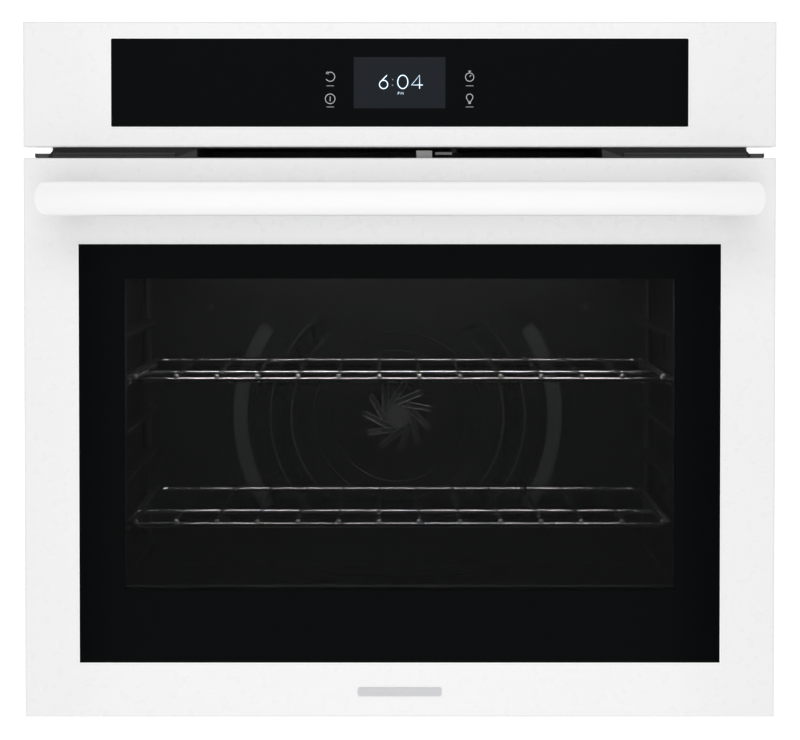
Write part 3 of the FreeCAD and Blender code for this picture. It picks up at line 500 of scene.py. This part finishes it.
# ---- operators ------------------------------------------------------------------------
class OVEN_OT_finishes(bpy.types.Operator):
    """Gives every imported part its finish."""

    bl_idname = "oven.finishes"
    bl_label = "Finish the parts"

    def execute(self, context):
        c = context.scene.oven_colours
        s = context.scene.oven_sizes
        enamel = porcelain("cavity_porcelain", tuple(c.enamel), 0.5)
        zinc = zinc_sheet("zinc_sheet", tuple(c.zinc), 95.0)
        bright_zinc = zinc_sheet("bright_zinc", (0.56, 0.56, 0.55), 420.0)
        white = enamel_paint("white_enamel", tuple(c.white), 0.24)
        handle = enamel_paint("handle_enamel", tuple(c.handle), 0.20)
        element = heater_sheath("heater_sheath")
        plated = plating("rack_plating", tuple(c.chrome))
        plastic = satin("black_moulding", (0.018, 0.018, 0.019), 0.42)
        motor = laminations("motor_plates", 1, 0.0016)
        wool = fibre("glass_wool", tuple(c.wool), 160.0, 0.003)
        steel_x = turned_steel("turned_along_x", (0.60, 0.60, 0.61), 0)
        looks = {
            "control_panel_trim": white, "door_outer_panel": white,
            "handle_bar": handle, "handle_mounts": handle,
            "door_outer_glass": window_glass("door_window", tuple(c.glass_black), s),
            "control_glass": control_glass("control_window", tuple(c.glass_black), tuple(c.display)),
            "door_inner_glasses": clear_pane("clear_pane"),
            "cavity_wrapper": enamel, "cavity_back": enamel,
            # The ledges get a darker copy of the cavity porcelain: painted shade that keeps the lamp-lit
            # ledges dim.
            "rack_ledges": porcelain("ledge_shaded_porcelain", (0.007, 0.007, 0.007), 0.3),
            "door_liner": porcelain("liner_porcelain", (0.020, 0.020, 0.021), 0.45),
            "fan_cover": porcelain("fan_cover_porcelain", (0.0155, 0.0155, 0.0148), 0.5),
            "front_frame": porcelain("frame_porcelain", (0.060, 0.062, 0.068), 0.3),
            "side_panels": zinc, "base_panel": zinc, "top_panel": zinc, "rear_panel": zinc,
            "compartment_shelf": zinc, "air_duct": satin("duct_grey", (0.12, 0.12, 0.122), 0.5),
            "blower_housing": zinc, "junction_box": zinc,
            "hinge_arms": bright_zinc, "hinge_channels": bright_zinc, "hinge_receivers": bright_zinc,
            "latch_hook": satin("hook_steel", (0.10, 0.10, 0.10), 0.45, 0.5),
            "latch_keeper": satin("keeper_steel", (0.34, 0.34, 0.335), 0.5, 0.4),
            "element_clips": satin("clip_steel", (0.085, 0.082, 0.078), 0.45, 0.5),
            "door_screws": turned_steel("screw_zinc_y", (0.50, 0.50, 0.50), 1),
            "chassis_screws": turned_steel("screw_zinc_x", (0.16, 0.16, 0.16), 0),
            "vent_trim": satin("vent_black", (0.0045, 0.0045, 0.0048), 0.45),
            "vent_bars": satin("vent_grey", (0.052, 0.052, 0.053), 0.40),
            "glass_pack_frame": satin("pack_black", (0.010, 0.010, 0.011), 0.5),
            "upper_rack": plated, "lower_rack": plated,
            "broil_element": element, "bake_element": element, "convection_element": element,
            "temperature_sensor": turned_steel("probe_steel", (0.22, 0.215, 0.21), 1),
            "fan_impeller": brushed("fan_sheet", (0.45, 0.45, 0.46), (1.0, 4.0, 12.0), 0.28),
            "blower_wheel": brushed("blower_sheet", (0.60, 0.60, 0.61), (1.0, 12.0, 12.0), 0.30),
            "fan_shaft": turned_steel("fan_shaft_steel", (0.60, 0.60, 0.61), 1),
            "hinge_pins": steel_x, "hinge_springs": turned_steel("spring_steel", (0.30, 0.30, 0.31), 2),
            "fan_motor": motor, "blower_motor": laminations("blower_plates", 0, 0.0014),
            "latch_motor": laminations("latch_plates", 2, 0.0022),
            "oven_insulation": wool, "door_insulation": wool,
            "door_gasket": fibre("woven_seal", (0.06, 0.06, 0.062), 520.0, 0.0006),
            "control_tray": plastic, "display_module": plastic, "door_switch": plastic,
            "door_switch_plunger": satin("plunger_grey", (0.30, 0.30, 0.29), 0.35),
            "terminal_block": satin("terminal_black", (0.03, 0.028, 0.026), 0.5),
            "control_board": board("control_board_green", 1, -0.0283),
            "relay_board": board("relay_board_green", 2, 0.5677),
            "blank_badge": brushed("badge_satin", (0.40, 0.40, 0.41), (1.0, 1.0, 14.0), 0.34),
            "lamp_lens": pressed_glass("lamp_glass", (0.85, 0.86, 0.84), 0.35),
            "lamp_bulb": pressed_glass("bulb_glass", (0.92, 0.90, 0.82), 0.6),
            "lamp_housing": satin("lamp_ceramic", (0.72, 0.71, 0.67), 0.55),
        }
        missing = sorted(set(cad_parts) - set(looks))
        if missing:
            raise RuntimeError("no finish for " + ", ".join(missing))
        for node, material in looks.items():
            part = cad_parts[node]
            part.data.materials.clear()
            part.data.materials.append(material)
        return {"FINISHED"}


class OVEN_OT_clock(bpy.types.Operator):
    """Draws the clock digits on the control glass."""

    bl_idname = "oven.clock"
    bl_label = "Clock digits"

    def execute(self, context):
        c = context.scene.oven_colours
        s = context.scene.oven_sizes
        y = -0.0505
        low = 0.6275
        tall = s.digit_height
        high = low + tall
        ball = tall * 0.31
        six = arc_points((-0.0164, low + ball), ball, 150, 510, y)
        tail = [(-0.0164 - ball * 0.866, y, low + ball * 1.5), (-0.0130, y, high)]
        nought = arc_points((0.0030, (low + high) / 2), tall / 2, 0, 348, y, 36, 0.76)
        bar = low + tall * 0.27
        four = [(0.0200, y, low), (0.0200, y, high), (0.0118, y, bar), (0.0232, y, bar)]
        dots = []
        for z in (low + tall * 0.25, low + tall * 0.68):
            dots.append(([(-0.0074, y, z), (-0.0071, y, z)], False))
        strokes = [(six, False), (tail, False), (nought, True), (four, False)] + dots
        material = glow("digit_light", tuple(c.digits), 0.9)
        curve = stroke_curve("clock_digits", strokes, s.digit_stroke)
        new_piece("clock_digits", curve, "chassis", material)
        small = 0.0026
        base = 0.6215
        letters = [([(-0.0018, y, base), (-0.0018, y, base + small), (-0.0006, y, base + small * 0.85),
                     (-0.0006, y, base + small * 0.6), (-0.0018, y, base + small * 0.45)], False),
                   ([(0.0012, y, base), (0.0012, y, base + small), (0.0023, y, base + small * 0.4),
                     (0.0034, y, base + small), (0.0034, y, base)], False)]
        curve = stroke_curve("half_day_mark", letters, 0.0002)
        new_piece("half_day_mark", curve, "chassis", material)
        return {"FINISHED"}


class OVEN_OT_keys(bpy.types.Operator):
    """Draws the four touch key marks: back, on and off, timer and lamp."""

    bl_idname = "oven.keys"
    bl_label = "Touch key marks"

    def execute(self, context):
        c = context.scene.oven_colours
        r = context.scene.oven_sizes.key_radius
        y = -0.0505
        left, right, upper, lower = -0.0704, 0.0706, 0.6395, 0.6172
        strokes = []
        back = arc_points((left, upper), r * 0.95, -150, 125, y)
        strokes.append((back, False))
        tip = back[-1]
        strokes.append(([(tip[0] - 0.0004, y, tip[2] + 0.0013), (tip[0] - 0.0016, y, tip[2] - 0.0006),
                         (tip[0] + 0.0012, y, tip[2] - 0.0012)], True))
        strokes.append((arc_points((left, lower), r, 0, 350, y), True))
        strokes.append(([(left, y, lower - r * 0.5), (left, y, lower + r * 0.5)], False))
        strokes.append((arc_points((right, upper - 0.0004), r * 0.86, 0, 350, y), True))
        strokes.append(([(right, y, upper + r * 0.86), (right, y, upper + r * 1.15)], False))
        crown = upper + r * 1.15
        strokes.append(([(right - 0.0014, y, crown), (right + 0.0014, y, crown)], False))
        strokes.append(([(right, y, upper), (right + 0.0016, y, upper + 0.0018)], False))
        bulb = arc_points((right, lower + 0.0016), r * 0.66, -35, 215, y)
        neck = [(right - 0.0012, y, lower - 0.0028), (right + 0.0012, y, lower - 0.0028)]
        strokes.append((bulb + neck, True))
        for step in (0.0038, 0.0047):
            strokes.append(([(right - 0.0012, y, lower - step), (right + 0.0012, y, lower - step)], False))
        # The printed marks get a faint emission: a painted glow on print that has no lamp behind it.
        marks = glow("key_print_painted_glow", tuple(c.marks), 0.25)
        new_piece("touch_key_marks", stroke_curve("touch_key_marks", strokes, 0.00036), "chassis",
                  marks)
        rules = []
        for x in (left, right):
            for z in (0.6303, 0.6090):
                rules.append(([(x - 0.0038, y, z), (x + 0.0038, y, z)], False))
        new_piece("touch_key_rules", stroke_curve("touch_key_rules", rules, 0.00022), "chassis",
                  marks)
        return {"FINISHED"}


class OVEN_OT_glass_trims(bpy.types.Operator):
    """Adds the thin bright line around the control glass and the door glass: a painted highlight of the bent
    sheet edge.
    """

    bl_idname = "oven.glass_trims"
    bl_label = "Glass trims"

    def execute(self, context):
        width = context.scene.oven_sizes.trim_width
        # The trim is painted brighter than the panel enamel: a painted highlight where light catches the bent
        # edge of each opening.
        highlight_paint = enamel_paint("trim_painted_highlight", (0.80, 0.80, 0.80), 0.18)
        for name, node, body in (("control_glass_trim", "control_glass", "chassis"),
                                 ("door_glass_trim", "door_outer_glass", "door")):
            low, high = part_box(node)
            half = high[0] + 0.0001
            outer = (half + width, low[2] - 0.0001 - width, high[2] + 0.0001 + width)
            inner = (half, low[2] - 0.0001, high[2] + 0.0001)
            mesh = mesh_from(lambda work: add_rim(work, outer, inner, (-0.0507, -0.0500)), name, 0.00025)
            new_piece(name, mesh, body, highlight_paint)
        return {"FINISHED"}


class OVEN_OT_pressings(bpy.types.Operator):
    """Adds the pressed ribs, louvre hoods and access cover of the chassis sheets."""

    bl_idname = "oven.pressings"
    bl_label = "Chassis pressings"

    def execute(self, context):
        c = context.scene.oven_colours
        deep = context.scene.oven_sizes.louvre_depth
        zinc = zinc_sheet("zinc_pressing", tuple(c.zinc), 95.0)
        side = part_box("side_panels")[1][0]
        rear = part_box("rear_panel")[1][1]
        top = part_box("top_panel")[1][2]

        def ribs(work):
            for face in (-1, 1):
                for z in (0.14, 0.30, 0.46):
                    x = sorted((face * (side - 0.0002), face * (side + 0.0024)))
                    add_block(work, (x[0], 0.06, z - 0.008), (x[1], 0.53, z + 0.008))
            for x in (-0.26, 0.26):
                add_block(work, (x - 0.009, rear - 0.0002, 0.07), (x + 0.009, rear + 0.0028, 0.55))
            for x in (-0.27, -0.09, 0.09, 0.27):
                add_block(work, (x - 0.008, 0.07, top - 0.0002), (x + 0.008, 0.38, top + 0.0024))
        mesh = mesh_from(ribs, "pressed_ribs", 0.0022, 3)
        new_piece("pressed_ribs", mesh, "chassis", zinc)

        def hoods(work):
            for column in range(16):
                x = -0.060 + column * 0.024
                add_block(work, (x + 0.0045, rear - 0.0002, 0.608), (x + 0.0135, rear + deep, 0.652))
            for face in (-1, 1):
                x = sorted((face * (side - 0.0002), face * (side + deep * 0.8)))
                for row in range(3):
                    for column in range(8):
                        y = 0.330 + column * 0.024
                        z = 0.5955 + row * 0.022
                        add_block(work, (x[0], y - 0.001, z), (x[1], y + 0.015, z + 0.006))
        mesh = mesh_from(hoods, "louvre_hoods", 0.0017, 3)
        new_piece("louvre_hoods", mesh, "chassis", zinc)

        def cover(work):
            add_block(work, (-0.135, rear - 0.0002, 0.150), (0.135, rear + 0.0016, 0.368))
            add_block(work, (-0.095, rear + 0.001, 0.185), (0.095, rear + 0.0062, 0.333))
        mesh = mesh_from(cover, "motor_access_cover", 0.0014, 3)
        cover_zinc = zinc_sheet("zinc_cover", tuple(c.zinc), 80.0)
        new_piece("motor_access_cover", mesh, "chassis", cover_zinc)
        return {"FINISHED"}


class OVEN_OT_screws(bpy.types.Operator):
    """Adds the sheet screws on the back and top and the bushing of the conduit opening."""

    bl_idname = "oven.screws"
    bl_label = "Sheet screws and bushing"

    def execute(self, context):
        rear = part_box("rear_panel")[1][1]
        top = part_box("top_panel")[1][2]
        places = []
        for x in (-0.343, -0.12, 0.12, 0.343):
            places.append(((x, rear, 0.014), "y"))
            places.append(((x, rear, 0.672), "y"))
        for z in (0.24, 0.45):
            places += [((-0.346, rear, z), "y"), ((0.346, rear, z), "y")]
        for x in (-0.125, 0.0, 0.125):
            places += [((x, rear + 0.0016, 0.159), "y"), ((x, rear + 0.0016, 0.359), "y")]
        for x in (-0.34, 0.0, 0.34):
            places += [((x, 0.03, top), "z"), ((x, 0.56, top), "z")]

        def heads(work):
            for (x, y, z), facing in places:
                made = bmesh.ops.create_uvsphere(work, u_segments=20, v_segments=10, radius=0.0042)
                verts = made["verts"]
                flat = (1.0, 0.5, 1.0) if facing == "y" else (1.0, 1.0, 0.5)
                bmesh.ops.scale(work, vec=flat, verts=verts)
                bmesh.ops.translate(work, vec=(x, y, z), verts=verts)
                for wide in ((0.0026, 0.0005), (0.0005, 0.0026)):
                    if facing == "y":
                        add_block(work, (x - wide[0], y + 0.0015, z - wide[1]),
                                  (x + wide[0], y + 0.0023, z + wide[1]))
                    else:
                        add_block(work, (x - wide[0], y - wide[1], z + 0.0015),
                                  (x + wide[0], y + wide[1], z + 0.0023))
        steel = brushed("screw_head_steel", (0.42, 0.42, 0.42), (1.0, 1.0, 1.0), 0.3)
        new_piece("sheet_screw_heads", mesh_from(heads, "sheet_screw_heads"), "chassis", steel)

        centre = Vector((-0.3, rear, 0.63))
        profile = [(0.0160, -0.0002), (0.0205, -0.0002), (0.0205, 0.0016), (0.0185, 0.0030), (0.0165, 0.0030),
                   (0.0160, 0.0018)]

        def bushing(work):
            rings = []
            for k in range(48):
                angle = 2 * math.pi * k / 48
                ring = []
                for radius, out in profile:
                    ring.append(work.verts.new((centre.x + radius * math.cos(angle), centre.y + out,
                                                centre.z + radius * math.sin(angle))))
                rings.append(ring)
            for k in range(48):
                here, there = rings[k], rings[(k + 1) % 48]
                for i in range(len(profile)):
                    j = (i + 1) % len(profile)
                    work.faces.new((here[i], here[j], there[j], there[i]))
        plastic = satin("bushing_black", (0.02, 0.02, 0.021), 0.45)
        mesh = mesh_from(bushing, "conduit_bushing")
        new_piece("conduit_bushing", mesh, "chassis", plastic)
        return {"FINISHED"}


class OVEN_OT_fan_cover(bpy.types.Operator):
    """Adds the embossed bands, finger guards and hub of the fan cover, drawn pale and bright as painted
    highlights on the raised pressing.
    """

    bl_idname = "oven.fan_cover"
    bl_label = "Fan cover embossing"

    def execute(self, context):
        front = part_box("fan_cover")[0][1]
        plate = front + 0.0030
        low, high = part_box("fan_impeller")
        centre = ((low[0] + high[0]) / 2, (low[2] + high[2]) / 2)
        # Pale porcelain on the embossed bands and rings: a painted highlight on the raised pressing of the
        # cover.
        pale = porcelain("embossed_highlight_porcelain", (0.13, 0.13, 0.135), 0.5)

        def bands(work):
            for face in (0, 180):
                add_arc_strip(work, centre, (0.1780, 0.1945), (face - 35, face + 35),
                              (plate - 0.0012, plate + 0.0004))
                for radius in (0.1257, 0.1507):
                    add_arc_strip(work, centre, (radius - 0.0010, radius + 0.0010), (face - 50, face + 50),
                                  (plate - 0.0014, plate + 0.0004))
        mesh = mesh_from(bands, "fan_cover_bands", 0.0006)
        new_piece("fan_cover_bands", mesh, "chassis", pale)

        # Bright metal on the finger slot outlines and the hub disc: a painted highlight on the raised rims and
        # centre of the pressed cover.
        highlight_paint = brushed("finger_rim_highlight_steel", (0.42, 0.42, 0.42), (1.0, 1.0, 6.0), 0.26)
        strokes = []
        y = plate - 0.0004
        for k in range(11):
            angle = math.radians(90 - k * 360 / 11)
            lean = angle - math.radians(44)
            root = Vector((0.0166 * math.cos(angle), 0, 0.0166 * math.sin(angle)))
            tip = Vector((0.0385 * math.cos(lean), 0, 0.0385 * math.sin(lean)))
            along = (tip - root).normalized()
            across = Vector((-along.z, 0, along.x)) * 0.0030
            outline = []
            for end, turn in ((root, 180), (tip, 0)):
                for step in range(-90, 91, 30):
                    spin = math.radians(step + turn)
                    out = along * math.cos(spin) * 0.0030 + across * math.sin(spin)
                    outline.append((centre[0] + end.x + out.x, y, centre[1] + end.z + out.z))
            strokes.append((outline, True))
        fingers = stroke_curve("fan_finger_guards", strokes, 0.0008)
        new_piece("fan_finger_guards", fingers, "chassis", highlight_paint)

        def hub(work):
            add_arc_strip(work, centre, (0.0006, 0.0135), (0, 360), (plate - 0.0022, plate + 0.0002), 40)
            add_arc_strip(work, centre, (0.0030, 0.0052), (0, 360), (plate - 0.0030, plate - 0.0020), 40)
        new_piece("fan_cover_hub", mesh_from(hub, "fan_cover_hub"), "chassis", highlight_paint)

        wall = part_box("cavity_back")[0][1]
        # Lighter porcelain rods along the rounded back corners: a painted highlight where light catches the
        # corner fillets.
        corner_highlight_lines = [([(x, wall - 0.002, 0.118), (x, wall - 0.002, 0.498)], False) for x in (-0.2955, 0.2955)]
        corner_highlight_paint = porcelain("corner_highlight_porcelain", (0.034, 0.034, 0.033), 0.4)
        corners = stroke_curve("cavity_corner_highlights", corner_highlight_lines, 0.0045)
        new_piece("cavity_corner_highlights", corners, "chassis", corner_highlight_paint)

        # A very dark thin sheet over the shallow floor basin: painted shade of the recess.
        def basin_shade_sheet(work):
            add_block(work, (-0.072, 0.250, 0.0826), (0.064, 0.494, 0.0838))
        dark = porcelain("basin_shade_porcelain", (0.005, 0.005, 0.005), 0.2)
        new_piece("cavity_floor_basin_shade", mesh_from(basin_shade_sheet, "cavity_floor_basin_shade", 0.0005), "chassis", dark)
        return {"FINISHED"}


class OVEN_OT_rack_ends(bpy.types.Operator):
    """Adds the rounded ends of the rack wires along each front rail, painted pale as a painted glint."""

    bl_idname = "oven.rack_ends"
    bl_label = "Rack wire ends"

    def execute(self, context):
        # The wire ends are real, but their pale diffuse finish is a painted glint standing in for the
        # highlights on the plated ends.
        glint_paint = satin("wire_end_painted_glint", (0.86, 0.86, 0.85), 0.25, 0.15)
        for node, slot in (("upper_rack", "chrome_wire"), ("lower_rack", "chrome_wire")):
            low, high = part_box(node)

            def ends(work):
                for k in range(14):
                    made = bmesh.ops.create_uvsphere(work, u_segments=16, v_segments=10, radius=0.0025)
                    place = ((k - 6.5) * 0.0424, low[1] + 0.0014, high[2] - 0.0021)
                    bmesh.ops.translate(work, vec=place, verts=made["verts"])
            name = node + "_wire_ends"
            new_piece(name, mesh_from(ends, name), node, glint_paint)
        return {"FINISHED"}


class OVEN_OT_stage(bpy.types.Operator):
    """Builds the pale studio, its soft lights and the camera."""

    bl_idname = "oven.stage"
    bl_label = "Studio"

    def execute(self, context):
        scene = context.scene
        drop = scene.oven_sizes.floor_drop

        def sweep(work):
            profile = [(-9.0, 0.0), (3.6, 0.0)]
            profile += [(3.6 + 1.6 * math.sin(math.radians(a)), 1.6 - 1.6 * math.cos(math.radians(a)))
                        for a in range(6, 91, 6)]
            profile.append((5.2, 7.0))
            rows = [[work.verts.new((x, y, z - drop)) for x in (-9.0, 9.0)] for y, z in profile]
            for low, high in zip(rows, rows[1:]):
                work.faces.new((low[0], low[1], high[1], high[0]))

        def pale(place):
            grain = place.noise(3.0, 2.0)
            return {"Base Color": grain.between((0.955, 0.955, 0.955), (0.97, 0.97, 0.97)),
                    "Roughness": grain * 0.1 + 0.85,
                    "Emission Color": grain.between((0.17, 0.17, 0.17), (0.19, 0.19, 0.19))}
        floor_mesh = mesh_from(sweep, "studio_sweep")
        for polygon in floor_mesh.polygons:
            polygon.use_smooth = True
        studio = finish("studio_pale", pale, Specular_IOR_Level=0.0, Emission_Strength=1.0)
        floor_mesh.materials.append(studio)
        floor = bpy.data.objects.new("studio_sweep", floor_mesh)
        scene.collection.objects.link(floor)

        world = bpy.data.worlds.new("studio_world")
        world.use_nodes = True
        sky = world.node_tree.nodes["Background"]
        sky.inputs["Color"].default_value = (1.0, 1.0, 1.0, 1.0)
        sky.inputs["Strength"].default_value = 0.76
        scene.world = world

        lamps = [
            ("key_softbox", (-0.5, -3.2, 3.4), (0.0, 0.0, 0.35), (3.2, 2.2), 41.0),
            ("fill_softbox", (0.0, -3.9, 0.35), (0.0, 0.0, 0.35), (1.3, 2.6), 28.0),
            ("back_softbox", (-2.6, 3.0, 2.6), (0.0, 0.3, 0.35), (2.4, 2.4), 22.0),
            ("cavity_glow", (0.0, 0.06, 0.500), (0.0, 0.17, 0.10), (0.50, 0.05), 2.3),
        ]
        for name, place, target, size, power in lamps:
            data = bpy.data.lights.new(name, "AREA")
            data.shape = "RECTANGLE"
            data.size, data.size_y = size
            data.energy = power
            lamp = bpy.data.objects.new(name, data)
            lamp.location = place
            aim = Vector(target) - Vector(place)
            lamp.rotation_euler = aim.to_track_quat("-Z", "Y").to_euler()
            scene.collection.objects.link(lamp)

        data = bpy.data.cameras.new("studio_camera")
        data.lens = 146.6
        data.sensor_width = 36.0
        data.clip_end = 60.0
        data.shift_x = 0.0188
        data.shift_y = -0.070
        camera = bpy.data.objects.new("studio_camera", data)
        camera.location = (-0.015, -3.350, 0.515)
        camera.rotation_euler = (math.radians(90.0 - 2.005), 0.0, 0.0)
        scene.collection.objects.link(camera)
        scene.camera = camera
        scene.view_settings.view_transform = "Standard"
        return {"FINISHED"}


class OVEN_PT_panel(bpy.types.Panel):
    """Sidebar panel with the settings and the steps."""

    bl_idname = "OVEN_PT_panel"
    bl_label = "Wall Oven"
    bl_space_type = "VIEW_3D"
    bl_region_type = "UI"
    bl_category = "Oven"

    def draw(self, context):
        layout = self.layout
        for step in STEPS:
            layout.operator(step.bl_idname)
        for group in (context.scene.oven_sizes, context.scene.oven_colours):
            column = layout.column()
            for key in group.bl_rna.properties.keys():
                if key not in ("rna_type", "name"):
                    column.prop(group, key)


STEPS = (OVEN_OT_finishes, OVEN_OT_clock, OVEN_OT_keys, OVEN_OT_glass_trims, OVEN_OT_pressings,
         OVEN_OT_screws, OVEN_OT_fan_cover, OVEN_OT_rack_ends, OVEN_OT_stage)
CLASSES = (OvenSizes, OvenColours) + STEPS + (OVEN_PT_panel,)


def register():
    for cls in CLASSES:
        bpy.utils.register_class(cls)
    bpy.types.Scene.oven_sizes = PointerProperty(type=OvenSizes)
    bpy.types.Scene.oven_colours = PointerProperty(type=OvenColours)


def unregister():
    del bpy.types.Scene.oven_colours
    del bpy.types.Scene.oven_sizes
    for cls in reversed(CLASSES):
        bpy.utils.unregister_class(cls)


def main():
    register()
    bpy.ops.oven.finishes()
    bpy.ops.oven.clock()
    bpy.ops.oven.keys()
    bpy.ops.oven.glass_trims()
    bpy.ops.oven.pressings()
    bpy.ops.oven.screws()
    bpy.ops.oven.fan_cover()
    bpy.ops.oven.rack_ends()
    bpy.ops.oven.stage()


if __name__ == "__main__":
    main()
